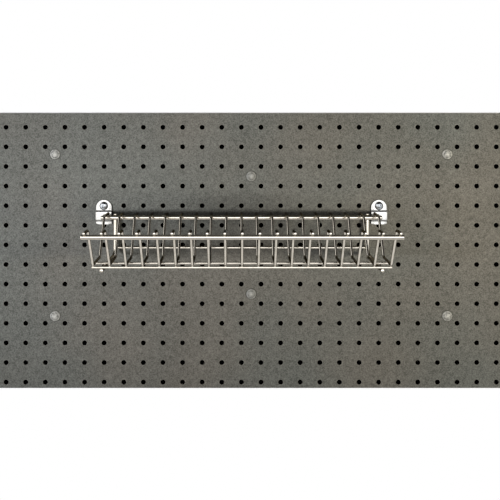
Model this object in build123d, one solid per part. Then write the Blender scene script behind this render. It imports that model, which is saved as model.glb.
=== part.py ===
from build123d import *
import os

# Pegboard tool wall: a perforated panel on stand-off spacers, with a welded wire basket screwed to it.
# Frame in millimetres: X to the right, Y into the wall, Z up. The origin lies on the wall plane, at the
# centre of the panel's fixing pattern. "Depth" means a distance in front of the panel's front face.

# Panel and its peg holes
hole_pitch = 25.4
hole_columns = 26
hole_rows = 14
hole_d = 6.35
panel_t = 6.35
side_margin = 12.7
top_margin = 19.05
bottom_margin = 7.95
edge_break = 0.6
rows_above_origin = 5.5

# Screws that hold the panel to the wall, and their spacers
corner_screw_x = 254.0
corner_screw_z = 104.775
middle_screw_z = 76.2
wall_screw_d = 4.8
wall_shank_d = 4.2
wall_screw_grip = 26.0
wall_screw_point = 7.0
wall_head_d = 12.7
wall_head_h = 2.8
wall_head_rim = 0.7
spacer_d = 12.7
spacer_l = 12.7
screw_clearance = 0.2

# Cross recess shared by every screw
recess_span = 5.0
recess_w = 1.1
recess_depth = 1.7

# Basket wires: nineteen alike, bent to a trough with a lip at the back and at the front
wire_d = 3.175
wire_count = 19
wire_bend_r = 4.0
end_wire_inset = 6.35
lip_drop = 9.1
trough_h = 44.45
back_lip_l = 28.5
trough_mouth = 97.0
trough_floor = 40.6
front_lip_l = 21.0

# Rails and support arms
rail_d = 5.56
back_rail_past_screw = 1.65
front_rail_overhang = 4.3
front_rail_setback = 4.6
floor_rail_d = 3.175
front_floor_rail_inset = 1.6
floor_rail_spacing = 21.7
brace_d = 3.175
brace_overhang = 1.0
brace_drop = 44.4
arm_d = 4.76
arm_bend_r = 9.0
arm_overhang = 0.8
weld_gap = 0.05
brace_standoff = 2.0

# Clips, their screws and the screw anchors
clip_spacing = 355.6
clip_screw_row = 4
basket_column = 12
clip_w = 20.1
clip_t = 2.0
clip_inner_bend_r = 0.4
clip_raise = 2.4
clip_step_run = 1.0
clip_top = 7.6
clip_tab_l = 6.4
clip_plate_l = 10.9
clip_foot_l = 4.5
clip_corner_r = 1.6
clip_screw_d = 4.8
clip_screw_l = 20.0
clip_screw_point = 3.0
clip_head_d = 10.8
clip_head_h = 3.4
clip_head_rim = 1.7
anchor_clearance = 0.05
anchor_barb = 1.0
anchor_tail = 9.0

# Places worked out from the sizes above
panel_back = -spacer_l
panel_front = panel_back - panel_t
panel_w = (hole_columns - 1) * hole_pitch + 2 * side_margin
top_row_z = rows_above_origin * hole_pitch
bottom_row_z = top_row_z - (hole_rows - 1) * hole_pitch
panel_top = top_row_z + top_margin
panel_bottom = bottom_row_z - bottom_margin
first_column_x = -(hole_columns - 1) / 2 * hole_pitch
basket_x = first_column_x + basket_column * hole_pitch
clip_x = round(clip_spacing / 2 / hole_pitch) * hole_pitch
clip_screw_z = top_row_z - clip_screw_row * hole_pitch

end_wire_x = clip_x - end_wire_inset
wire_pitch = 2 * end_wire_x / (wire_count - 1)
arm_x = end_wire_x - wire_pitch / 2
lip_z = clip_screw_z - lip_drop

clip_face_depth = clip_t + clip_raise
brace_depth = brace_standoff + brace_d / 2
arm_depth = brace_depth + brace_d / 2 + weld_gap + arm_d / 2
back_rail_depth = arm_depth + arm_d / 2 + weld_gap + rail_d / 2
rail_z = lip_z - wire_d / 2 - weld_gap - rail_d / 2
lip_end_depth = clip_face_depth + weld_gap
mouth_back_depth = lip_end_depth + back_lip_l
mouth_front_depth = mouth_back_depth + trough_mouth
floor_back_depth = mouth_back_depth + (trough_mouth - trough_floor) / 2
floor_front_depth = floor_back_depth + trough_floor
front_lip_depth = mouth_front_depth + front_lip_l
front_rail_depth = front_lip_depth - front_rail_setback
floor_z = lip_z - trough_h
floor_rail_z = floor_z - wire_d / 2 - weld_gap - floor_rail_d / 2
front_floor_rail_depth = floor_front_depth - front_floor_rail_inset
middle_floor_rail_depth = front_floor_rail_depth - floor_rail_spacing
arm_leg_z = floor_rail_z - floor_rail_d / 2 - weld_gap - arm_d / 2
arm_reach = front_floor_rail_depth + arm_overhang

wall_screw_places = {
    "top_left": (-corner_screw_x, corner_screw_z),
    "top_middle": (0, middle_screw_z),
    "top_right": (corner_screw_x, corner_screw_z),
    "bottom_left": (-corner_screw_x, -corner_screw_z),
    "bottom_middle": (0, -middle_screw_z),
    "bottom_right": (corner_screw_x, -corner_screw_z),
}


def at_depth(x, depth, z):
    """A point in front of the panel's front face."""
    return Vector(x, panel_front - depth, z)


def into_wall(x, y, z):
    """A plane across the Y axis, with its normal into the wall and its own y axis along X."""
    return Plane((x, y, z), x_dir=(0, 0, 1), z_dir=(0, 1, 0))


def turned(profile):
    """A solid of revolution from (radius, distance) edges, standing on its own Z axis."""
    face = Plane.XZ * make_face(profile)
    return revolve(face, Axis.Z)


def rod(start, end, diameter):
    """A straight round rod between two points."""
    line = Line(start, end)
    return sweep(Plane(start, z_dir=line % 0) * Circle(diameter / 2), path=line)


def bent_rod(points, radius, diameter):
    """A round rod along straight runs joined by bends."""
    path = FilletPolyline(*points, radius=radius)
    return sweep(Plane(path @ 0, z_dir=path % 0) * Circle(diameter / 2), path=path)


def pegboard_panel():
    height = panel_top - panel_bottom
    middle = into_wall(0, panel_front, (panel_top + panel_bottom) / 2)
    sheet = extrude(middle * Rectangle(height, panel_w), panel_t)
    front_edges = sheet.faces().sort_by(Axis.Y)[0].edges()
    sheet = chamfer(front_edges, edge_break)
    grid_middle = into_wall(0, panel_front, (top_row_z + bottom_row_z) / 2)
    grid = GridLocations(hole_pitch, hole_pitch, hole_rows, hole_columns)
    holes = [grid_middle * place * Circle(hole_d / 2) for place in grid]
    screw_holes = [
        into_wall(x, panel_front, z) * Circle(wall_screw_d / 2 + screw_clearance)
        for x, z in wall_screw_places.values()
    ]
    return sheet - extrude(Sketch() + holes + screw_holes, panel_t)


def spacer(x, z):
    ring = Circle(spacer_d / 2) - Circle(wall_screw_d / 2 + screw_clearance)
    return extrude(into_wall(x, panel_back, z) * ring, spacer_l)


def cross_recess(crown):
    """The cross-shaped socket in a head whose crown is this far in front of its seat."""
    cross = Rectangle(recess_span, recess_w) + Rectangle(recess_w, recess_span)
    return Pos(0, 0, -crown) * extrude(cross, recess_depth)


def wall_screw(x, z):
    """A truss-head screw: a low dome, a plain shank as far as the wall, a threaded end and a point."""
    thread_r = wall_screw_d / 2
    shank_r = wall_shank_d / 2
    shank_l = panel_t + spacer_l
    length = shank_l + wall_screw_grip
    rim = (wall_head_d / 2, -wall_head_rim)
    profile = [
        TangentArc((0, -wall_head_h), rim, tangent=(1, 0)),
        Polyline(rim, (wall_head_d / 2, 0), (shank_r, 0), (shank_r, shank_l), (thread_r, shank_l),
                 (thread_r, length - wall_screw_point), (0, length), (0, -wall_head_h)),
    ]
    return into_wall(x, panel_front, z).location * (turned(profile) - cross_recess(wall_head_h))


def clip_screw(x):
    """A pan-head screw through the clip's tab into its anchor."""
    shank_r = clip_screw_d / 2
    rim = (clip_head_d / 2, -clip_head_rim)
    profile = [
        TangentArc((0, -clip_head_h), rim, tangent=(1, 0)),
        Polyline(rim, (clip_head_d / 2, 0), (shank_r, 0), (shank_r, clip_screw_l - clip_screw_point),
                 (0, clip_screw_l), (0, -clip_head_h)),
    ]
    seat = into_wall(x, panel_front - clip_t, clip_screw_z)
    return seat.location * (turned(profile) - cross_recess(clip_head_h))


def screw_anchor(x):
    """A nylon plug that fills a peg hole and catches behind the panel with a barb."""
    body_r = hole_d / 2 - anchor_clearance
    bore_r = clip_screw_d / 2 + anchor_clearance
    barb_r = body_r + anchor_barb
    tail = panel_t + anchor_tail
    barb_seat = panel_t + anchor_clearance
    profile = Polyline((bore_r, 0), (body_r, 0), (body_r, barb_seat), (barb_r, barb_seat),
                       (body_r, tail), (bore_r, tail), close=True)
    return into_wall(x, panel_front, clip_screw_z).location * turned(profile)


def clip(x):
    """A joggled strap: a tab under the screw, a raised plate for the end wire's lip and a foot."""
    skin = clip_t / 2
    raised = clip_face_depth - skin
    tab_end = clip_screw_z - clip_tab_l
    plate_top = tab_end - clip_step_run
    plate_end = plate_top - clip_plate_l
    foot_top = plate_end - clip_step_run
    foot_end = foot_top - clip_foot_l
    strap_line = FilletPolyline(
        at_depth(x, skin, clip_screw_z + clip_w),
        at_depth(x, skin, tab_end),
        at_depth(x, raised, plate_top),
        at_depth(x, raised, plate_end),
        at_depth(x, skin, foot_top),
        at_depth(x, skin, foot_end),
        radius=clip_inner_bend_r + skin,
    )
    section = Plane(strap_line @ 0, x_dir=(1, 0, 0), z_dir=strap_line % 0)
    strap = sweep(section * Rectangle(clip_w, clip_t), path=strap_line)
    crown_z = clip_screw_z + clip_top - clip_w / 2
    front = Plane((x, panel_front, 0), x_dir=(1, 0, 0), z_dir=(0, -1, 0))
    outline = Pos(0, crown_z) * Circle(clip_w / 2)
    outline += Pos(0, (crown_z + foot_end) / 2) * Rectangle(clip_w, crown_z - foot_end)
    outline = fillet(outline.vertices().group_by(Axis.Y)[0], clip_corner_r)
    screw_hole = Pos(0, clip_screw_z) * Circle(clip_screw_d / 2 + screw_clearance)
    blank = extrude(front * (outline - screw_hole), clip_face_depth)
    return strap & blank


def trough_wire(x):
    points = [
        at_depth(x, lip_end_depth, lip_z),
        at_depth(x, mouth_back_depth, lip_z),
        at_depth(x, floor_back_depth, floor_z),
        at_depth(x, floor_front_depth, floor_z),
        at_depth(x, mouth_front_depth, lip_z),
        at_depth(x, front_lip_depth, lip_z),
    ]
    return bent_rod(points, wire_bend_r, wire_d)


def cross_rail(depth, z, half_length, diameter):
    start = at_depth(basket_x - half_length, depth, z)
    end = at_depth(basket_x + half_length, depth, z)
    return rod(start, end, diameter)


def support_arm(x):
    """A post behind the back rail that turns forward under the trough's floor rails."""
    points = [
        at_depth(x, arm_depth, lip_z),
        at_depth(x, arm_depth, arm_leg_z),
        at_depth(x, arm_reach, arm_leg_z),
    ]
    return bent_rod(points, arm_bend_r, arm_d)


pieces = {"pegboard_panel": pegboard_panel()}
for place, (screw_x, screw_z) in wall_screw_places.items():
    pieces[f"{place}_wall_screw"] = wall_screw(screw_x, screw_z)
    pieces[f"{place}_spacer"] = spacer(screw_x, screw_z)

for number in range(wire_count):
    wire_x = basket_x - end_wire_x + number * wire_pitch
    pieces[f"basket_wire_{number + 1:02d}"] = trough_wire(wire_x)

wire_half_span = end_wire_x + wire_d / 2
brace_z = lip_z - brace_drop
pieces["back_top_rail"] = cross_rail(back_rail_depth, rail_z, clip_x + back_rail_past_screw, rail_d)
pieces["front_top_rail"] = cross_rail(front_rail_depth, rail_z, end_wire_x + front_rail_overhang, rail_d)
pieces["front_bottom_rail"] = cross_rail(front_floor_rail_depth, floor_rail_z, wire_half_span, floor_rail_d)
pieces["middle_bottom_rail"] = cross_rail(middle_floor_rail_depth, floor_rail_z, wire_half_span, floor_rail_d)
pieces["back_brace_rail"] = cross_rail(brace_depth, brace_z, arm_x + arm_d / 2 + brace_overhang, brace_d)

for side, sign in (("left", -1), ("right", 1)):
    pieces[f"{side}_support_arm"] = support_arm(basket_x + sign * arm_x)
    pieces[f"{side}_clip"] = clip(basket_x + sign * clip_x)
    pieces[f"{side}_clip_screw"] = clip_screw(basket_x + sign * clip_x)
    pieces[f"{side}_screw_anchor"] = screw_anchor(basket_x + sign * clip_x)

os.makedirs("parts", exist_ok=True)
for name, piece in pieces.items():
    export_step(piece, f"parts/{name}.step")
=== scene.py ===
import math

import bmesh
import bpy
from mathutils import Matrix, Vector


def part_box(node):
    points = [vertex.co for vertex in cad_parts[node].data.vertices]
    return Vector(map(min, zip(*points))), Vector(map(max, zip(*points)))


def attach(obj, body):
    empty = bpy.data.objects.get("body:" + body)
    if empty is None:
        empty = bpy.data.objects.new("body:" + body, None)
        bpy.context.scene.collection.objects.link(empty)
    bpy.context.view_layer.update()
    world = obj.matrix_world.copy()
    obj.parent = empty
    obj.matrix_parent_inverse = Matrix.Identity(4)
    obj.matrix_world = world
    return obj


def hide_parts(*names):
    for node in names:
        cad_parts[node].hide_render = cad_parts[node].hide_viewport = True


# Pegboard tool wall: a perforated board on spacers, with a welded wire basket screwed to it.
# Metres, X to the right, Y into the wall, Z up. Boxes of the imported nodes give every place.
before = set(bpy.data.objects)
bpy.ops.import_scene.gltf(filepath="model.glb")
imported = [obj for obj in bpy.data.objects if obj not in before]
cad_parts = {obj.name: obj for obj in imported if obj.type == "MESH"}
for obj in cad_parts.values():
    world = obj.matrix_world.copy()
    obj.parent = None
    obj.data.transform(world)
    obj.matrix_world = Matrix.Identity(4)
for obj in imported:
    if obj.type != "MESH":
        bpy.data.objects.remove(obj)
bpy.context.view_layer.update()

MM = 0.001

# Board and its peg holes
HOLE_PITCH = 25.4 * MM
HOLE_COLUMNS = 26
HOLE_ROWS = 14
HOLE_R = 3.175 * MM
TOP_MARGIN = 19.05 * MM
HOLE_SIDES = 24
HOLE_RIM = 0.2 * MM
BOARD_EDGE = 0.6 * MM

# A face whose normal has less Y than this stands square to the board
UPRIGHT_LIMIT = 0.2

# Basket wires, rails and arms
WIRE_COUNT = 19
WIRE_BEND = 4.0 * MM
BACK_LIP = 28.5 * MM
TROUGH_MOUTH = 97.0 * MM
TROUGH_FLOOR = 40.6 * MM
ARM_BEND = 9.0 * MM
ROD_SIDES = 20
BEND_STEPS = 8
WELD_R = 1.35 * MM
WELD_SEGMENTS = 8
WELD_RINGS = 6
WELD_TURN_SEED = 4

# Deburred rod ends: how far in from the end, and how thick there, as shares of the rod's radius
ROD_END = ((0.0, 0.72), (0.12, 0.9), (0.4, 1.0))

# Clips
CLIP_T = 2.0 * MM
CLIP_BEND = 1.4 * MM
CLIP_STEP = 1.0 * MM
CLIP_PLATE = 10.9 * MM
CLIP_FOOT = 4.5 * MM
CLIP_CORNER = 1.6 * MM
CLIP_EDGE = 0.3 * MM
TAB_STEPS = 12
CORNER_STEPS = 6
STRAP_SHARES = (-1, -0.5, 0, 0.5, 1)

# Screws: a recess has a span, a width and a depth
WALL_HEAD_H = 2.8 * MM
WALL_HEAD_RIM = 0.7 * MM
WALL_SHANK_R = 2.1 * MM
WALL_THREAD_R = 2.4 * MM
WALL_POINT = 7.0 * MM
WALL_RECESS = (4.0 * MM, 0.9 * MM, 0.4 * MM)
WALL_RING_R = 4.3 * MM
WALL_RING_W = 1.8 * MM
WALL_RING_DEPTH = 0.4 * MM
CLIP_HEAD_H = 3.4 * MM
CLIP_HEAD_RIM = 1.0 * MM
CLIP_THREAD_R = 2.4 * MM
CLIP_POINT = 3.0 * MM
CLIP_RECESS = (6.2 * MM, 1.7 * MM, 2.1 * MM)
CLIP_SCREW_TURN = {"left": 28, "right": 35}
THREAD_PITCH = 1.8 * MM
THREAD_DEPTH = 0.5 * MM
HEAD_SOFTNESS = 0.35
HEAD_STEPS = 20
SCREW_STEPS = 40
SCREW_TURN_SEED = 7

# A recess cutter's span and width, as shares, one depth above the crown and one depth below it
RECESS_ABOVE = (1.3, 1.2)
RECESS_BELOW = (0.2, 0.5)

# Where a screw point turns steeper: the share of the core's radius, and of the point's length still to go
POINT_KNEE = (0.5, 0.35)

# Spacers and anchors
SPACER_CLEARANCE = 0.2 * MM
SPACER_EDGE = 0.4 * MM
ANCHOR_CLEARANCE = 0.05 * MM
ANCHOR_BARB = 0.6 * MM
TUBE_STEPS = 32

# Corners closer than this become one
MERGE_DISTANCE = 0.01 * MM

# Distances from a screw's axis over which the painted shadow round the wall screws fades, and over which
# the painted shade on the clip screws' rims sets in
WALL_SCREW_SHADOW = (6.2 * MM, 8.2 * MM)
RIM_SHADE = (3.8 * MM, 4.6 * MM)

# Zinc's tint where it is seen at a grazing angle
GRAZING_ZINC = (0.06, 0.055, 0.045, 1)

PLACES = ("top_left", "top_middle", "top_right", "bottom_left", "bottom_middle", "bottom_right")
WALL_SCREWS = [place + "_wall_screw" for place in PLACES]
WIRES = [f"basket_wire_{number:02d}" for number in range(1, WIRE_COUNT + 1)]
TOP_RAILS = ("back_top_rail", "front_top_rail")
FLOOR_RAILS = ("front_bottom_rail", "middle_bottom_rail")
SIDES = ("left", "right")
CLIP_SCREWS = [side + "_clip_screw" for side in SIDES]

board_low, board_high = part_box("pegboard_panel")
BOARD_FRONT = board_low.y
BOARD_BACK = board_high.y


class Value:
    """A node's output. Its operators add Math nodes."""

    def __init__(self, graph, socket):
        self.graph = graph
        self.socket = socket

    def __add__(self, other):
        return self.graph.math("ADD", self, other)

    def __sub__(self, other):
        return self.graph.math("SUBTRACT", self, other)

    def __rsub__(self, other):
        return self.graph.math("SUBTRACT", other, self)

    def __mul__(self, other):
        return self.graph.math("MULTIPLY", self, other)

    def __truediv__(self, other):
        return self.graph.math("DIVIDE", self, other)

    __radd__ = __add__
    __rmul__ = __mul__


class Graph:
    """One node tree, of a material, the world or a Geometry Nodes modifier."""

    def __init__(self, tree):
        self.tree = tree

    def node(self, kind, settings=None, values=None, output=0):
        """Adds a node, sets it up, and returns one of its outputs."""
        node = self.tree.nodes.new(kind)
        for name, setting in (settings or {}).items():
            setattr(node, name, setting)
        for key, value in (values or {}).items():
            socket = next(s for s in node.inputs if key in (s.identifier, s.name))
            if isinstance(value, Value):
                self.tree.links.new(value.socket, socket)
            else:
                socket.default_value = value
        wanted = node.outputs[output] if len(node.outputs) else None
        return Value(self, wanted)

    def math(self, operation, *terms):
        names = ("Value", "Value_001", "Value_002")
        return self.node("ShaderNodeMath", {"operation": operation}, dict(zip(names, terms)))

    def ramp(self, value, low, high, start=0.0, end=1.0):
        """A value from start to end, eased, as another goes from low to high."""
        limits = {"Value": value, "From Min": low, "From Max": high, "To Min": start, "To Max": end}
        return self.node("ShaderNodeMapRange", {"interpolation_type": "SMOOTHSTEP"}, limits)

    def blend(self, share, first, second):
        """A colour between two others."""
        values = {"Factor_Float": share, "A_Color": first, "B_Color": second}
        return self.node("ShaderNodeMix", {"data_type": "RGBA"}, values, output=2)

    def noise(self, place, feature, detail=2.0):
        """Smooth noise whose patches are about this long."""
        values = {"Vector": place, "Scale": 1 / feature, "Detail": detail}
        return self.node("ShaderNodeTexNoise", None, values)

    def bump(self, height, depth):
        return self.node("ShaderNodeBump", None, {"Height": height, "Distance": depth})

    def part(self, vector, axis):
        """One coordinate of a vector: X, Y or Z."""
        return self.node("ShaderNodeSeparateXYZ", None, {"Vector": vector}, output=axis)

    def length(self, across, up):
        """The length of a line that goes this far across and up."""
        return self.math("SQRT", across * across + up * up)


def srgb(red, green, blue):
    """A colour as seen on screen, from 0 to 255, as the shader takes it."""
    def linear(channel):
        share = channel / 255
        return share / 12.92 if share <= 0.04045 else ((share + 0.055) / 1.055) ** 2.4
    return (linear(red), linear(green), linear(blue), 1.0)


def new_finish(name):
    """An empty material, its node tree and the coordinates of the piece."""
    material = bpy.data.materials.new(name)
    material.use_nodes = True
    material.node_tree.nodes.clear()
    graph = Graph(material.node_tree)
    place = graph.node("ShaderNodeTexCoord", output="Object")
    return material, graph, place


def close_finish(graph, values):
    shader = graph.node("ShaderNodeBsdfPrincipled", None, values)
    graph.node("ShaderNodeOutputMaterial", None, {"Surface": shader})


def axis_distance(graph, place, nodes):
    """How far a point stands from the nearest of these screws' axes, seen from the front."""
    x = graph.part(place, "X")
    z = graph.part(place, "Z")
    nearest = 1.0
    for node in nodes:
        distance = graph.length(x - middle(node).x, z - middle(node).z)
        nearest = graph.math("MINIMUM", nearest, distance)
    return nearest


def board_finish():
    """Matt dark grey board: clouds, mottling, grain, paler hole rims and a painted shadow round the wall
    screws.
    """
    material, graph, place = new_finish("board_dark_grey")
    clouds = graph.noise(place, 90 * MM)
    warmth = graph.ramp(graph.noise(place, 200 * MM), 0.35, 0.65)
    mottle = graph.noise(place, 6 * MM, detail=4.0)
    grain = graph.noise(place, 1.5 * MM)
    across = (graph.math("FRACT", graph.part(place, "X") / HOLE_PITCH) - 0.5) * HOLE_PITCH
    up = (graph.math("FRACT", graph.part(place, "Z") / HOLE_PITCH) - 0.5) * HOLE_PITCH
    rim_w = 1.4 * MM
    rim = graph.ramp(graph.length(across, up), HOLE_R, HOLE_R + rim_w, 1.0, 0.0)
    tone = 0.4 * clouds + 0.8 * mottle + 1.8 * grain - 1.03
    dark = graph.blend(warmth, srgb(84, 85, 80), srgb(86, 84, 77))
    pale = graph.blend(warmth, srgb(139, 140, 134), srgb(142, 138, 130))
    shade = graph.blend(tone, dark, pale)
    colour = graph.blend(rim * mottle * 0.5, shade, srgb(150, 146, 136))
    # Painted shadow: the board is darkened in a ring round each wall screw head
    painted_shade = graph.ramp(axis_distance(graph, place, WALL_SCREWS), *WALL_SCREW_SHADOW, 0.55, 0.0)
    colour = graph.blend(painted_shade, colour, srgb(52, 51, 46))
    roughness = 0.66 + 0.2 * mottle
    normal = graph.bump(0.7 * grain + 0.3 * mottle, 0.12 * MM)
    close_finish(graph, {"Base Color": colour, "Roughness": roughness, "Normal": normal,
                         "Specular IOR Level": 0.35})
    return material


def hole_shade_finish():
    """Inside the peg holes: almost black and without gloss, a painted shade for the dark inside the holes.
    """
    material, graph, place = new_finish("hole_wall_black")
    speckle = graph.noise(place, 0.8 * MM, detail=3.0)
    colour = graph.blend(speckle, srgb(5, 5, 4), srgb(12, 11, 10))
    normal = graph.bump(speckle, 0.1 * MM)
    close_finish(graph, {"Base Color": colour, "Roughness": 0.9 + 0.1 * speckle, "Normal": normal,
                         "Specular IOR Level": 0.0})
    return material


def zinc_finish(name, bright, dull, least_rough, most_rough, shaded_rims=()):
    """Zinc plate: bright metal with duller patches, an uneven skin and painted shade on the rims of the
    screws named.
    """
    material, graph, place = new_finish(name)
    patches = graph.noise(place, 6 * MM, detail=3.0)
    skin = graph.noise(place, 0.8 * MM)
    wear_and_highlight = graph.ramp(patches, 0.35, 0.75)
    colour = graph.blend(wear_and_highlight, bright, dull)
    if shaded_rims:
        # Painted shade: the outer rim of each named screw head is darkened
        rim = graph.ramp(axis_distance(graph, place, shaded_rims), *RIM_SHADE, 0.0, 0.8)
        colour = graph.blend(rim, colour, srgb(64, 66, 68))
    roughness = least_rough + (most_rough - least_rough) * (0.7 * wear_and_highlight + 0.3 * skin)
    normal = graph.bump(skin, 0.015 * MM)
    close_finish(graph, {"Base Color": colour, "Roughness": roughness, "Normal": normal, "Metallic": 1.0,
                         "Specular Tint": GRAZING_ZINC})
    return material


def painted_finish():
    """Pale grey paint on the wall screws: patchy, with a painted highlight in the middle, painted shade in
    the ring and painted shade on the middle pair.
    """
    material, graph, place = new_finish("wall_screw_paint")
    patches = graph.ramp(graph.noise(place, 2.6 * MM, detail=3.0), 0.36, 0.64)
    skin = graph.noise(place, 0.6 * MM)
    distance = axis_distance(graph, place, WALL_SCREWS)
    sideways = graph.math("ABSOLUTE", graph.part(place, "X"))
    off_ring = graph.math("ABSOLUTE", distance - WALL_RING_R)
    # Painted shade: the pressed ring in each head is darkened
    painted_shade = graph.ramp(off_ring, 0.3 * MM, 1.1 * MM, 0.4, 0.0)
    # Painted highlight: the middle of each head is lightened
    wear_and_highlight = graph.ramp(distance, 0.8 * MM, 2.4 * MM, 0.4, 0.0)
    # Painted shade: the middle pair of heads is darkened
    middle_pair_shaded = graph.ramp(sideways, 80 * MM, 160 * MM, 0.5, 1.0)
    tone = (0.6 * patches + 0.3 + wear_and_highlight - painted_shade) * middle_pair_shaded
    colour = graph.blend(tone, srgb(118, 118, 112), srgb(206, 204, 197))
    normal = graph.bump(skin, 0.03 * MM)
    close_finish(graph, {"Base Color": colour, "Roughness": 0.3 + 0.15 * patches, "Normal": normal})
    return material


def nylon_finish(name, low, high):
    """Natural nylon: pale, faintly cloudy and satin."""
    material, graph, place = new_finish(name)
    clouds = graph.noise(place, 5 * MM, detail=3.0)
    skin = graph.noise(place, 0.5 * MM)
    colour = graph.blend(clouds, low, high)
    normal = graph.bump(skin, 0.02 * MM)
    close_finish(graph, {"Base Color": colour, "Roughness": 0.42 + 0.12 * clouds, "Normal": normal,
                         "Subsurface Weight": 0.1, "Subsurface Scale": 1.5 * MM})
    return material


class Pattern(Graph):
    """A Geometry Nodes tree with named inputs, which ends in one realised mesh with its finish."""

    def __init__(self, name):
        super().__init__(bpy.data.node_groups.new(name, "GeometryNodeTree"))
        self.tree.interface.new_socket("Mesh", in_out="OUTPUT", socket_type="NodeSocketGeometry")
        self.entry = self.tree.nodes.new("NodeGroupInput")

    def input(self, name, kind):
        socket = self.tree.interface.new_socket(name, in_out="INPUT", socket_type="NodeSocket" + kind)
        found = next(s for s in self.entry.outputs if s.identifier == socket.identifier)
        return Value(self, found)

    def close(self, geometry):
        finish = self.input("Finish", "Material")
        real = self.node("GeometryNodeRealizeInstances", None, {"Geometry": geometry})
        dressed = self.node("GeometryNodeSetMaterial", None, {"Geometry": real, "Material": finish})
        exit_node = self.tree.nodes.new("NodeGroupOutput")
        self.tree.links.new(dressed.socket, exit_node.inputs[0])
        return self.tree


def rod_pattern():
    """Round rods along lines: corners become bends, and the ends follow the line's own taper."""
    pattern = Pattern("round_rods")
    lines = pattern.input("Lines", "Geometry")
    radius = pattern.input("Rod radius", "Float")
    bend = pattern.input("Bend radius", "Float")
    route = pattern.node("GeometryNodeMeshToCurve", None, {"Mesh": lines})
    bent = pattern.node("GeometryNodeFilletCurve", {"mode": "POLY"},
                        {"Curve": route, "Count": BEND_STEPS, "Radius": bend, "Limit Radius": True})
    ring = pattern.node("GeometryNodeCurvePrimitiveCircle", None,
                        {"Resolution": ROD_SIDES, "Radius": radius})
    taper = pattern.node("GeometryNodeInputNamedAttribute", {"data_type": "FLOAT"}, {"Name": "taper"})
    rods = pattern.node("GeometryNodeCurveToMesh", None,
                        {"Curve": bent, "Profile Curve": ring, "Scale": taper, "Fill Caps": True})
    return pattern.close(rods)


def repeat_pattern():
    """One piece set at each of several places, each copy turned about Y by a random angle."""
    pattern = Pattern("set_at_places")
    places = pattern.input("Places", "Geometry")
    piece = pattern.input("Piece", "Object")
    largest_turn = pattern.input("Largest turn", "Float")
    seed = pattern.input("Seed", "Int")
    shape = pattern.node("GeometryNodeObjectInfo", None, {"Object": piece}, output="Geometry")
    angle = pattern.node("FunctionNodeRandomValue", {"data_type": "FLOAT"},
                         {"Max_001": largest_turn, "Seed": seed}, output=1)
    turn = pattern.node("FunctionNodeAxisAngleToRotation", None, {"Axis": (0, 1, 0), "Angle": angle})
    copies = pattern.node("GeometryNodeInstanceOnPoints", None,
                          {"Points": places, "Instance": shape, "Rotation": turn})
    return pattern.close(copies)


def perforation_pattern():
    """A sheet of like cells, each with one hole, on a square grid across X and Z."""
    pattern = Pattern("peg_hole_grid")
    pattern.input("Empty base", "Geometry")
    cell = pattern.input("Cell", "Object")
    columns = pattern.input("Columns", "Int")
    rows = pattern.input("Rows", "Int")
    pitch = pattern.input("Pitch", "Float")
    centre = pattern.input("Centre", "Vector")
    grid = pattern.node("GeometryNodeMeshGrid", None,
                        {"Size X": (columns - 1) * pitch, "Size Y": (rows - 1) * pitch,
                         "Vertices X": columns, "Vertices Y": rows})
    upright = pattern.node("FunctionNodeEulerToRotation", None, {"Euler": (math.pi / 2, 0, 0)})
    standing = pattern.node("GeometryNodeTransform", None,
                            {"Geometry": grid, "Translation": centre, "Rotation": upright})
    shape = pattern.node("GeometryNodeObjectInfo", None, {"Object": cell}, output="Geometry")
    cells = pattern.node("GeometryNodeInstanceOnPoints", None, {"Points": standing, "Instance": shape})
    real = pattern.node("GeometryNodeRealizeInstances", None, {"Geometry": cells})
    sheet = pattern.node("GeometryNodeMergeByDistance", None,
                         {"Geometry": real, "Distance": MERGE_DISTANCE})
    return pattern.close(sheet)


def thread_pattern():
    """A sharp ridge wound round a screw along +Y, from Y = 0."""
    pattern = Pattern("screw_thread")
    pattern.input("Empty base", "Geometry")
    core = pattern.input("Core radius", "Float")
    depth = pattern.input("Depth", "Float")
    length = pattern.input("Length", "Float")
    pitch = pattern.input("Pitch", "Float")
    helix = pattern.node("GeometryNodeCurveSpiral", None,
                         {"Resolution": ROD_SIDES, "Rotations": length / pitch, "Start Radius": core,
                          "End Radius": core, "Height": length})
    level = pattern.node("GeometryNodeSetCurveNormal", {"mode": "Z_UP"}, {"Curve": helix})
    ridge = pattern.node("GeometryNodeCurvePrimitiveCircle", None, {"Resolution": 4, "Radius": depth})
    thread = pattern.node("GeometryNodeCurveToMesh", None,
                          {"Curve": level, "Profile Curve": ridge, "Fill Caps": True})
    along_y = pattern.node("FunctionNodeEulerToRotation", None, {"Euler": (-math.pi / 2, 0, 0)})
    laid = pattern.node("GeometryNodeTransform", None, {"Geometry": thread, "Rotation": along_y})
    return pattern.close(laid)


def new_object(name, mesh):
    piece = bpy.data.objects.new(name, mesh)
    bpy.context.scene.collection.objects.link(piece)
    return piece


def new_mesh(name, points, edges=(), faces=()):
    mesh = bpy.data.meshes.new(name)
    mesh.from_pydata(points, edges, faces)
    return mesh


def drop(piece):
    bpy.data.objects.remove(piece)


def evaluated_mesh(piece):
    """A plain mesh of a piece with its modifiers applied."""
    graph = bpy.context.evaluated_depsgraph_get()
    return bpy.data.meshes.new_from_object(piece.evaluated_get(graph))


def grown(tree, base, inputs):
    """The plain mesh that a Geometry Nodes tree makes from a base mesh."""
    carrier = new_object("carrier", base)
    modifier = carrier.modifiers.new("pattern", "NODES")
    modifier.node_group = tree
    for item in tree.interface.items_tree:
        if item.in_out == "INPUT" and item.name in inputs:
            modifier[item.identifier] = inputs[item.name]
    mesh = evaluated_mesh(carrier)
    drop(carrier)
    return mesh


def smooth(mesh, angle=32):
    mesh.shade_smooth()
    mesh.set_sharp_from_angle(angle=math.radians(angle))
    return mesh


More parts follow.
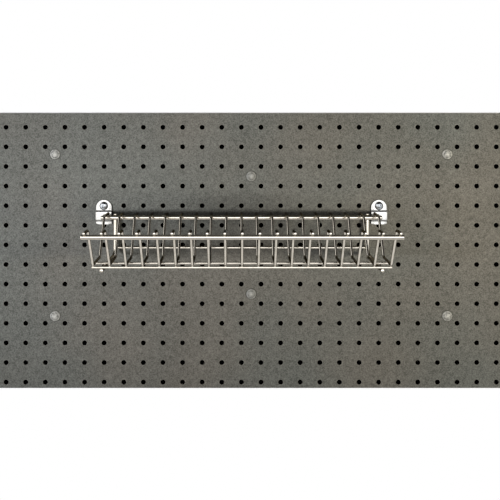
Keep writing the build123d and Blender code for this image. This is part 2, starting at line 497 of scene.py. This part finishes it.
def joined(name, meshes):
    """One mesh from several, with the first one's finish."""
    shape = bmesh.new()
    for mesh in meshes:
        shape.from_mesh(mesh)
    whole = bpy.data.meshes.new(name)
    for material in meshes[0].materials:
        whole.materials.append(material)
    shape.to_mesh(whole)
    shape.free()
    return whole


def settle(name, mesh, body, nodes=()):
    """Makes a finished mesh a piece of the object, riding on its body in place of its nodes."""
    mesh.name = name
    piece = new_object(name, mesh)
    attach(piece, body)
    if nodes:
        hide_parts(*nodes)


def middle(node):
    low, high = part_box(node)
    return (low + high) / 2


def half_width(node):
    low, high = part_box(node)
    return (high.x - low.x) / 2


def spots_at(nodes, y):
    """The nodes' middles as seen from the front, at one depth."""
    return [Vector((middle(node).x, y, middle(node).z)) for node in nodes]


def repeated(name, body, spots, finish, turn_seed=0):
    """One mesh of like copies of a body at several places, turned at random if a seed is given."""
    piece = new_object(name, body)
    largest_turn = math.tau if turn_seed else 0.0
    inputs = {"Piece": piece, "Largest turn": largest_turn, "Seed": turn_seed, "Finish": finish}
    mesh = grown(REPEAT_PATTERN, new_mesh(name + "_places", spots), inputs)
    drop(piece)
    return mesh


def turned(profile, steps):
    """A mesh of revolution about Y, from (radius, y) points that run round the section."""
    shape = bmesh.new()
    rings = []
    for radius, y in profile:
        if radius == 0:
            rings.append([shape.verts.new((0, y, 0))] * steps)
            continue
        ring = []
        for step in range(steps):
            angle = math.tau * step / steps
            ring.append(shape.verts.new((radius * math.cos(angle), y, radius * math.sin(angle))))
        rings.append(ring)
    if profile[0][0] > 0:
        rings.append(rings[0])
    for first, second in zip(rings, rings[1:]):
        for step in range(steps):
            after = (step + 1) % steps
            corners = dict.fromkeys((first[step], first[after], second[after], second[step]))
            if len(corners) > 2:
                shape.faces.new(corners)
    bmesh.ops.recalc_face_normals(shape, faces=shape.faces)
    mesh = bpy.data.meshes.new("turned")
    shape.to_mesh(mesh)
    shape.free()
    return mesh


def dome(radius, rim_y, crown_y, steps):
    """Profile points of a spherical dome, from its crown on the axis to its rim."""
    rise = abs(crown_y - rim_y)
    ball = (radius ** 2 + rise ** 2) / (2 * rise)
    spread = math.asin(radius / ball)
    points = []
    for step in range(steps + 1):
        angle = spread * step / steps
        points.append((ball * math.sin(angle), crown_y + ball * (1 - math.cos(angle))))
    return points


def rounded_route(points, radius, steps):
    """Points along straight runs, in one plane, whose corners are arcs of this radius."""
    route = [points[0]]
    for before, corner, after in zip(points, points[1:], points[2:]):
        arriving = (corner - before).normalized()
        leaving = (after - corner).normalized()
        turn = arriving.angle(leaving)
        setback = radius * math.tan(turn / 2)
        inward = (leaving - arriving).normalized()
        centre = corner + inward * (radius / math.cos(turn / 2))
        start = corner - arriving * setback - centre
        axis = arriving.cross(leaving).normalized()
        for step in range(steps + 1):
            route.append(centre + Matrix.Rotation(turn * step / steps, 3, axis) @ start)
    route.append(points[-1])
    return route


def rods(routes, radius, bend, finish):
    """One mesh of round rods with deburred ends, along routes of corner points."""
    points = []
    edges = []
    taper = []
    for route in routes:
        first, second = route[0], route[1]
        last, before_last = route[-1], route[-2]
        start = (second - first).normalized()
        end = (before_last - last).normalized()
        line = [first + start * radius * inward for inward, _ in ROD_END]
        line += route[1:-1]
        line += [last + end * radius * inward for inward, _ in reversed(ROD_END)]
        thickness = [share for _, share in ROD_END]
        offset = len(points)
        edges += [(offset + step, offset + step + 1) for step in range(len(line) - 1)]
        points += line
        taper += thickness + [1.0] * (len(route) - 2) + thickness[::-1]
    base = new_mesh("rod_lines", points, edges)
    base.attributes.new("taper", "FLOAT", "POINT").data.foreach_set("value", taper)
    inputs = {"Rod radius": radius, "Bend radius": bend, "Finish": finish}
    return smooth(grown(ROD_PATTERN, base, inputs), angle=40)


def make_board(finish, shade_in_holes):
    """The perforated sheet: like cells on the peg grid, then its margins, edge and edge break."""
    half = HOLE_PITCH / 2
    depth = BOARD_BACK - BOARD_FRONT
    rings = ((None, 0), (HOLE_R + HOLE_RIM, 0), (HOLE_R, HOLE_RIM), (HOLE_R, depth), (None, depth))
    points = []
    faces = []
    for radius, y in rings:
        for side in range(HOLE_SIDES):
            angle = math.tau * side / HOLE_SIDES
            x, z = math.cos(angle), math.sin(angle)
            reach = half / max(abs(x), abs(z)) if radius is None else radius
            points.append((x * reach, y, z * reach))
    for ring in range(len(rings) - 1):
        for side in range(HOLE_SIDES):
            near = ring * HOLE_SIDES
            after = (side + 1) % HOLE_SIDES
            faces.append((near + side, near + after, near + HOLE_SIDES + after, near + HOLE_SIDES + side))
    cell = new_object("peg_hole_cell", new_mesh("peg_hole_cell", points, (), faces))
    top_row = board_high.z - TOP_MARGIN
    bottom_row = top_row - (HOLE_ROWS - 1) * HOLE_PITCH
    centre = (0, BOARD_FRONT, (top_row + bottom_row) / 2)
    inputs = {"Cell": cell, "Columns": HOLE_COLUMNS, "Rows": HOLE_ROWS, "Pitch": HOLE_PITCH,
              "Centre": centre, "Finish": finish}
    mesh = grown(perforation_pattern(), new_mesh("empty", []), inputs)
    drop(cell)
    shape = bmesh.new()
    shape.from_mesh(mesh)
    for vertex in shape.verts:
        if vertex.co.z > top_row + half - HOLE_RIM:
            vertex.co.z = board_high.z
        if vertex.co.z < bottom_row - half + HOLE_RIM:
            vertex.co.z = board_low.z
    open_edges = [edge for edge in shape.edges if edge.is_boundary]
    front_edges = [e for e in open_edges if max(v.co.y for v in e.verts) < BOARD_FRONT + HOLE_RIM]
    bmesh.ops.bridge_loops(shape, edges=open_edges)
    bmesh.ops.bevel(shape, geom=front_edges, offset=BOARD_EDGE, segments=2, profile=0.5, affect="EDGES")
    bmesh.ops.recalc_face_normals(shape, faces=shape.faces)
    shape.to_mesh(mesh)
    shape.free()
    # Painted shade: the upright faces inside the holes take the near-black finish
    mesh.materials.append(shade_in_holes)
    for face in mesh.polygons:
        upright = abs(face.normal.y) < UPRIGHT_LIMIT
        inland_x = board_low.x + BOARD_EDGE < face.center.x < board_high.x - BOARD_EDGE
        inland_z = board_low.z + BOARD_EDGE < face.center.z < board_high.z - BOARD_EDGE
        if upright and inland_x and inland_z:
            face.material_index = len(mesh.materials) - 1
    settle("perforated_board", smooth(mesh), "wall_panel", ["pegboard_panel"])


def wire_route(node):
    """Corner points of one basket wire, from its lip at the board to its lip at the front."""
    low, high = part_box(node)
    radius = half_width(node)
    x = middle(node).x
    lip_z = high.z - radius
    floor_z = low.z + radius
    mouth_back = high.y - BACK_LIP
    mouth_front = mouth_back - TROUGH_MOUTH
    slope = (TROUGH_MOUTH - TROUGH_FLOOR) / 2
    along = (high.y, mouth_back, mouth_back - slope, mouth_front + slope, mouth_front, low.y)
    heights = (lip_z, lip_z, floor_z, floor_z, lip_z, lip_z)
    return [Vector((x, y, z)) for y, z in zip(along, heights)]


def rail_route(node):
    low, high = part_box(node)
    centre = middle(node)
    return [Vector((low.x, centre.y, centre.z)), Vector((high.x, centre.y, centre.z))]


def arm_route(node):
    """Corner points of one arm: down behind the back rail, then forward under the floor."""
    low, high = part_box(node)
    radius = half_width(node)
    x = middle(node).x
    post_y = high.y - radius
    leg_z = low.z + radius
    return [Vector((x, post_y, high.z)), Vector((x, post_y, leg_z)), Vector((x, low.y, leg_z))]


def rail_radius(node):
    low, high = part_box(node)
    return (high.z - low.z) / 2


def make_basket_rods(finish):
    wires = rods([wire_route(node) for node in WIRES], half_width(WIRES[0]), WIRE_BEND, finish)
    settle("basket_wires", wires, "basket", WIRES)
    for node in TOP_RAILS + FLOOR_RAILS + ("back_brace_rail",):
        rail = rods([rail_route(node)], rail_radius(node), WIRE_BEND, finish)
        settle(node + "_rod", rail, "basket", [node])
    for side in SIDES:
        node = side + "_support_arm"
        arm = rods([arm_route(node)], half_width(node), ARM_BEND, finish)
        settle(node + "_rod", arm, "basket", [node])


def make_welds(finish):
    """A small nugget in the crook of each crossing of wires, rails and arms, and at each clip."""
    places = []
    for wire in WIRES:
        x = middle(wire).x
        for rail in TOP_RAILS + FLOOR_RAILS:
            places.append(Vector((x, middle(rail).y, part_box(rail)[1].z)))
    for side in SIDES:
        arm = side + "_support_arm"
        x = middle(arm).x
        post_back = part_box(arm)[1].y
        for rail in FLOOR_RAILS:
            places.append(Vector((x, middle(rail).y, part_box(rail)[0].z)))
        places.append(Vector((x, post_back - 2 * half_width(arm), middle("back_top_rail").z)))
        places.append(Vector((x, post_back, middle("back_brace_rail").z)))
    for wire in (WIRES[0], WIRES[-1]):
        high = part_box(wire)[1]
        places.append(Vector((middle(wire).x, high.y, high.z - half_width(wire))))
    nugget = bmesh.new()
    bmesh.ops.create_uvsphere(nugget, u_segments=WELD_SEGMENTS, v_segments=WELD_RINGS, radius=WELD_R)
    mesh = bpy.data.meshes.new("weld_nugget")
    nugget.to_mesh(mesh)
    nugget.free()
    welds = repeated("weld_nugget", mesh, places, finish, WELD_TURN_SEED)
    settle("basket_welds", smooth(welds, angle=80), "basket")


def make_clip(side, finish):
    """A bent strap: a round tab under the screw, a raised plate for an end wire's lip, and a foot."""
    low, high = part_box(side + "_clip")
    x = middle(side + "_clip").x
    half_w = half_width(side + "_clip")
    flat_y = high.y - CLIP_T / 2
    raised_y = low.y + CLIP_T / 2
    foot_top = low.z + CLIP_FOOT
    plate_end = foot_top + CLIP_STEP
    plate_top = plate_end + CLIP_PLATE
    tab_end = plate_top + CLIP_STEP
    corners = [(flat_y, high.z), (flat_y, tab_end), (raised_y, plate_top), (raised_y, plate_end),
               (flat_y, foot_top), (flat_y, low.z)]
    route = rounded_route([Vector((x, y, z)) for y, z in corners], CLIP_BEND, BEND_STEPS)
    crown = [half_w * (1 - math.cos(math.pi / 2 * step / TAB_STEPS)) for step in range(TAB_STEPS + 1)]
    foot = [CLIP_CORNER * math.sin(math.pi / 2 * step / CORNER_STEPS) for step in range(CORNER_STEPS + 1)]
    rows = [(Vector((x, flat_y, high.z - drop_z)), math.sqrt(half_w ** 2 - (half_w - drop_z) ** 2))
            for drop_z in crown]
    rows += [(point, half_w) for point in route[1:-1]]
    for rise in foot:
        width = half_w - CLIP_CORNER + math.sqrt(max(CLIP_CORNER ** 2 - rise ** 2, 0))
        rows.append((Vector((x, flat_y, low.z + CLIP_CORNER - rise)), width))
    shape = bmesh.new()
    lines = []
    for point, width in rows:
        lines.append([shape.verts.new(point + Vector((width * share, 0, 0))) for share in STRAP_SHARES])
    for first, second in zip(lines, lines[1:]):
        for place in range(len(first) - 1):
            shape.faces.new((first[place], first[place + 1], second[place + 1], second[place]))
    bmesh.ops.remove_doubles(shape, verts=shape.verts, dist=MERGE_DISTANCE)
    bmesh.ops.recalc_face_normals(shape, faces=shape.faces)
    mesh = bpy.data.meshes.new("clip")
    mesh.materials.append(finish)
    shape.to_mesh(mesh)
    shape.free()
    strap = new_object("strap", mesh)
    wall = strap.modifiers.new("sheet", "SOLIDIFY")
    wall.thickness = CLIP_T
    wall.offset = 0
    edge = strap.modifiers.new("edge", "BEVEL")
    edge.width = CLIP_EDGE
    edge.segments = 2
    edge.limit_method = "ANGLE"
    edge.angle_limit = math.radians(50)
    bent = evaluated_mesh(strap)
    drop(strap)
    settle(side + "_clip_strap", smooth(bent, angle=40), "basket", [side + "_clip"])


def cut_recess(mesh, crown_y, recess):
    """Cuts a tapered cross, of a span, width and depth, into a screw head whose crown is at this Y."""
    span, width, depth = recess
    shape = bmesh.new()
    for across in (0, 1):
        cutter = []
        for level, (long_share, wide_share) in ((-depth, RECESS_ABOVE), (depth, RECESS_BELOW)):
            for long_sign, wide_sign in ((-1, -1), (1, -1), (1, 1), (-1, 1)):
                spread = (span / 2 * long_share * long_sign, width / 2 * wide_share * wide_sign)
                x, z = spread if across else spread[::-1]
                cutter.append(shape.verts.new((x, crown_y + level, z)))
        for step in range(4):
            after = (step + 1) % 4
            shape.faces.new((cutter[step], cutter[after], cutter[4 + after], cutter[4 + step]))
        shape.faces.new(cutter[:4])
        shape.faces.new(cutter[4:])
    bmesh.ops.recalc_face_normals(shape, faces=shape.faces)
    blade_mesh = bpy.data.meshes.new("recess")
    shape.to_mesh(blade_mesh)
    shape.free()
    blade = new_object("recess", blade_mesh)
    head = new_object("head", mesh)
    cut = head.modifiers.new("recess", "BOOLEAN")
    cut.object = blade
    cut.operation = "DIFFERENCE"
    cut.solver = "EXACT"
    cut.use_self = True
    result = evaluated_mesh(head)
    drop(head)
    drop(blade)
    return result


def screw_crown(head_r, head_h, head_rim, ring_depth):
    """The profile of a screw head seated on Y = 0: a dome, with a ring pressed this deep into it."""
    soft = head_rim * HEAD_SOFTNESS
    profile = []
    for radius, y in dome(head_r - soft, -head_rim, -head_h, HEAD_STEPS):
        nearness = max(0.0, 1 - abs(radius - WALL_RING_R) / (WALL_RING_W / 2))
        profile.append((radius, y + ring_depth * nearness))
    return profile + [(head_r, -head_rim + soft), (head_r, -soft), (head_r - soft, 0)]


def screw(crown, recess, shank_r, shank_l, thread_r, length, point, finish):
    """A screw along +Y, with its head's seat at Y = 0: crown and recess, plain shank, thread and point."""
    core = thread_r - THREAD_DEPTH
    profile = crown + [(shank_r, 0)]
    if shank_l:
        profile += [(shank_r, shank_l), (core, shank_l + THREAD_DEPTH)]
    knee_r, knee_left = POINT_KNEE
    profile += [(core, length - point), (core * knee_r, length - point * knee_left), (0, length)]
    crown_y = crown[0][1]
    body = cut_recess(turned(profile, SCREW_STEPS), crown_y, recess)
    body.materials.clear()
    body.materials.append(finish)
    thread_start = shank_l + THREAD_DEPTH
    thread_l = length - point - shank_l - THREAD_DEPTH
    inputs = {"Core radius": core, "Depth": THREAD_DEPTH, "Length": thread_l, "Pitch": THREAD_PITCH,
              "Finish": finish}
    ridge = grown(THREAD_PATTERN, new_mesh("empty", []), inputs)
    ridge.transform(Matrix.Translation((0, thread_start, 0)))
    return smooth(joined("screw", [body, ridge]), angle=36)


def make_wall_screws(finish):
    """Domed screws through board and spacers, plain as far as the wall at Y = 0 and threaded in it."""
    crown = screw_crown(half_width(WALL_SCREWS[0]), WALL_HEAD_H, WALL_HEAD_RIM, WALL_RING_DEPTH)
    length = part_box(WALL_SCREWS[0])[1].y - BOARD_FRONT
    shank_l = -BOARD_FRONT
    body = screw(crown, WALL_RECESS, WALL_SHANK_R, shank_l, WALL_THREAD_R, length, WALL_POINT, finish)
    mesh = repeated("wall_screw", body, spots_at(WALL_SCREWS, BOARD_FRONT), finish, SCREW_TURN_SEED)
    settle("wall_screws", mesh, "wall_panel", WALL_SCREWS)


def make_spacers(finish):
    """Nylon tubes between board and wall, with broken edges."""
    nodes = [place + "_spacer" for place in PLACES]
    low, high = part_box(nodes[0])
    outer = half_width(nodes[0])
    bore = WALL_THREAD_R + SPACER_CLEARANCE
    edge = SPACER_EDGE
    length = high.y - low.y
    profile = [(bore, 0), (outer - edge, 0), (outer, edge), (outer, length - edge),
               (outer - edge, length), (bore, length)]
    body = smooth(turned(profile, TUBE_STEPS))
    mesh = repeated("spacer", body, spots_at(nodes, low.y), finish)
    settle("wall_spacers", mesh, "wall_panel", nodes)


def make_clip_screw(side, finish):
    """A pan-head screw on a clip's tab, threaded all the way and turned a little from upright."""
    node = side + "_clip_screw"
    seat_y = BOARD_FRONT - CLIP_T
    crown = screw_crown(half_width(node), CLIP_HEAD_H, CLIP_HEAD_RIM, ring_depth=0.0)
    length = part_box(node)[1].y - seat_y
    core = CLIP_THREAD_R - THREAD_DEPTH
    body = screw(crown, CLIP_RECESS, core, 0.0, CLIP_THREAD_R, length, CLIP_POINT, finish)
    twist = Matrix.Rotation(math.radians(CLIP_SCREW_TURN[side]), 4, "Y")
    place = Matrix.Translation((middle(node).x, seat_y, middle(node).z))
    body.transform(place @ twist)
    settle(node + "_threaded", body, side + "_screw", [node])


def make_anchors(finish):
    """Nylon plugs in the two peg holes behind the clips, barbed behind the board."""
    nodes = [side + "_screw_anchor" for side in SIDES]
    low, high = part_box(nodes[0])
    barb = half_width(nodes[0])
    plug = HOLE_R - ANCHOR_CLEARANCE
    bore = CLIP_THREAD_R + ANCHOR_CLEARANCE
    length = high.y - low.y
    seat = BOARD_BACK - low.y + ANCHOR_CLEARANCE
    profile = [(bore, 0), (plug, 0), (plug, seat), (barb, seat), (barb, seat + ANCHOR_BARB),
               (plug, length), (bore, length)]
    body = smooth(turned(profile, TUBE_STEPS))
    mesh = repeated("anchor", body, spots_at(nodes, low.y), finish)
    settle("screw_anchors", mesh, "wall_panel", nodes)


def seen_in_metal(graph):
    """One for a ray that the camera sees mirrored in metal, and zero for any other."""
    is_glossy = graph.node("ShaderNodeLightPath", output="Is Glossy Ray")
    diffuse_bounces = graph.node("ShaderNodeLightPath", output="Diffuse Depth")
    return is_glossy * graph.math("LESS_THAN", diffuse_bounces, 0.5)


def stage_finish(name, colour, axis, low, high, start, end):
    """A pale matt surface that the camera sees as plain white; metal sees it dimmer towards one side."""
    material, graph, place = new_finish(name)
    along = graph.part(place, axis)
    is_camera = graph.node("ShaderNodeLightPath", output="Is Camera Ray")
    in_metal = seen_in_metal(graph)
    mirrored = graph.ramp(along, low, high, start, end)
    matt = graph.node("ShaderNodeBsdfDiffuse", None, {"Color": colour})
    strength = is_camera + in_metal * mirrored
    white = graph.node("ShaderNodeEmission", None, {"Color": (1, 1, 1, 1), "Strength": strength})
    mixed = graph.node("ShaderNodeMixShader", None,
                       {"Fac": is_camera + in_metal, "Shader": matt, "Shader_001": white})
    graph.node("ShaderNodeOutputMaterial", None, {"Surface": mixed})
    return material


def make_stage():
    """A white wall with an opening behind the board, and a pale floor below."""
    reach = 3.0
    inset = 3 * MM
    sight_drop = 3.6 * MM
    floor_z = -1.45
    y = 0.5 * MM
    inner_x = (board_low.x + inset, board_high.x - inset)
    inner_z = (board_low.z - sight_drop, board_high.z - inset)
    outer = [(-reach, y, floor_z), (reach, y, floor_z), (reach, y, reach), (-reach, y, reach)]
    inner = [(inner_x[0], y, inner_z[0]), (inner_x[1], y, inner_z[0]),
             (inner_x[1], y, inner_z[1]), (inner_x[0], y, inner_z[1])]
    faces = [(side, (side + 1) % 4, 4 + (side + 1) % 4, 4 + side) for side in range(4)]
    wall = new_object("stage_wall", new_mesh("stage_wall", outer + inner, (), faces))
    ground = [(-reach, -reach, floor_z), (reach, -reach, floor_z),
              (reach, y, floor_z), (-reach, y, floor_z)]
    floor = new_object("stage_floor", new_mesh("stage_floor", ground, (), [(0, 1, 2, 3)]))
    pale = (0.7, 0.7, 0.7, 1)
    wall_white = stage_finish("stage_wall_white", pale, "Z", low=-0.25, high=0.15, start=0.95, end=0.15)
    floor_white = stage_finish("stage_floor_white", pale, "Y", low=-1.1, high=-0.45, start=0.35, end=0.95)
    wall.data.materials.append(wall_white)
    floor.data.materials.append(floor_white)


def make_world():
    """White to the camera, near black behind the board as painted shade; metal sees a bright front, dimmer
    sides, a dark top.
    """
    world = bpy.data.worlds.new("studio")
    bpy.context.scene.world = world
    world.use_nodes = True
    world.node_tree.nodes.clear()
    graph = Graph(world.node_tree)
    direction = graph.node("ShaderNodeTexCoord", output="Generated")
    right = graph.part(direction, "X")
    behind = graph.part(direction, "Y")
    height = graph.part(direction, "Z")
    is_camera = graph.node("ShaderNodeLightPath", output="Is Camera Ray")
    in_metal = seen_in_metal(graph)
    # Painted shade: rays through the opening behind the board see near black, for the dark gap behind it
    # and in the peg holes
    shade_behind_board = 0.0004
    front_glow, side_glow = 3.0, 0.7
    left_glow, right_glow = 2.0, 0.6
    ambient = 0.11
    seen = graph.ramp(behind, 0.74, 0.84, 1.0, shade_behind_board)
    sideways = graph.math("ABSOLUTE", right)
    horizon = graph.ramp(height, 0.45, 0.62, 1.0, 0.0) * graph.ramp(height, -0.35, -0.18, 0.3, 1.0)
    front = graph.ramp(sideways, 0.4, 0.7, front_glow, side_glow) * horizon
    left_box = graph.ramp(right, -0.76, -0.6, left_glow, 0.0) * graph.ramp(height, 0.62, 0.8, 1.0, 0.0)
    right_box = graph.ramp(right, 0.8, 0.92, 0.0, right_glow) * graph.ramp(height, 0.55, 0.75, 1.0, 0.0)
    mirrored = graph.math("MAXIMUM", front, graph.math("MAXIMUM", left_box, right_box))
    strength = is_camera * seen + in_metal * mirrored + (1 - is_camera - in_metal) * ambient
    sky = graph.node("ShaderNodeBackground", None, {"Color": (1, 1, 1, 1), "Strength": strength})
    graph.node("ShaderNodeOutputWorld", None, {"Surface": sky})


def make_lamp(name, place, target, size, watts, spread=180, tint=(1, 1, 1)):
    """A square lamp, in metres and watts, that neither the camera nor a mirroring surface sees."""
    lamp = bpy.data.lights.new(name, "AREA")
    lamp.shape = "SQUARE"
    lamp.size = size
    lamp.energy = watts
    lamp.color = tint
    lamp.spread = math.radians(spread)
    holder = bpy.data.objects.new(name, lamp)
    bpy.context.scene.collection.objects.link(holder)
    holder.location = place
    holder.rotation_euler = (Vector(target) - Vector(place)).to_track_quat("-Z", "Y").to_euler()
    holder.visible_camera = False
    holder.visible_glossy = False


def make_lamps():
    """A cool key lamp on the left and a warm one on the right, both low, and a soft one for the back."""
    cool = (0.98, 1.0, 1.06)
    warm = (1.0, 0.955, 0.83)
    for name, sign, watts, tint in (("left_key", -1, 1.15, cool), ("right_key", 1, 1.22, warm)):
        place = (0.62 * sign, -0.64, -0.004)
        target = (0.16 * sign, -0.02, 0.08)
        make_lamp(name, place, target, size=0.12, watts=watts, spread=95, tint=tint)
    make_lamp("back_fill", (0, 1.2, -0.9), (0, 0, 0), size=0.8, watts=20.0)


def make_camera():
    """The photograph's view: square on to the board, from above the basket, with a shifted lens."""
    photo_size = 500
    pixels_per_mm = 0.77197
    board_zero = (251.18, 235.1)
    straight_ahead = (236.0, 107.0)
    distance = 900 * MM
    camera = bpy.data.cameras.new("camera")
    camera.sensor_width = 36
    camera.lens = pixels_per_mm * distance / MM / photo_size * camera.sensor_width
    camera.shift_x = 0.5 - straight_ahead[0] / photo_size
    camera.shift_y = straight_ahead[1] / photo_size - 0.5
    holder = bpy.data.objects.new("camera", camera)
    bpy.context.scene.collection.objects.link(holder)
    x = (straight_ahead[0] - board_zero[0]) / pixels_per_mm * MM
    z = (board_zero[1] - straight_ahead[1]) / pixels_per_mm * MM
    holder.location = (x, BOARD_FRONT - distance, z)
    holder.rotation_euler = (math.pi / 2, 0, 0)
    bpy.context.scene.camera = holder


ROD_PATTERN = rod_pattern()
REPEAT_PATTERN = repeat_pattern()
THREAD_PATTERN = thread_pattern()

zinc = zinc_finish("bright_zinc", (0.64, 0.595, 0.52, 1), (0.54, 0.5, 0.43, 1), 0.07, 0.15)
clip_zinc = zinc_finish("clip_zinc", (0.48, 0.475, 0.455, 1), (0.4, 0.395, 0.38, 1), 0.18, 0.3)
screw_zinc = zinc_finish("screw_zinc", (0.6, 0.62, 0.64, 1), (0.4, 0.42, 0.44, 1), 0.2, 0.34, CLIP_SCREWS)
weld_zinc = zinc_finish("weld_zinc", (0.62, 0.59, 0.54, 1), (0.44, 0.41, 0.37, 1), 0.35, 0.6)

make_camera()
make_board(board_finish(), hole_shade_finish())
make_basket_rods(zinc)
make_welds(weld_zinc)
for side in SIDES:
    make_clip(side, clip_zinc)
    make_clip_screw(side, screw_zinc)
make_wall_screws(painted_finish())
make_spacers(nylon_finish("spacer_nylon", srgb(196, 192, 180), srgb(216, 212, 202)))
make_anchors(nylon_finish("anchor_nylon", srgb(202, 199, 188), srgb(222, 219, 210)))

make_stage()
make_world()
make_lamps()

bpy.context.scene.view_settings.view_transform = "Standard"
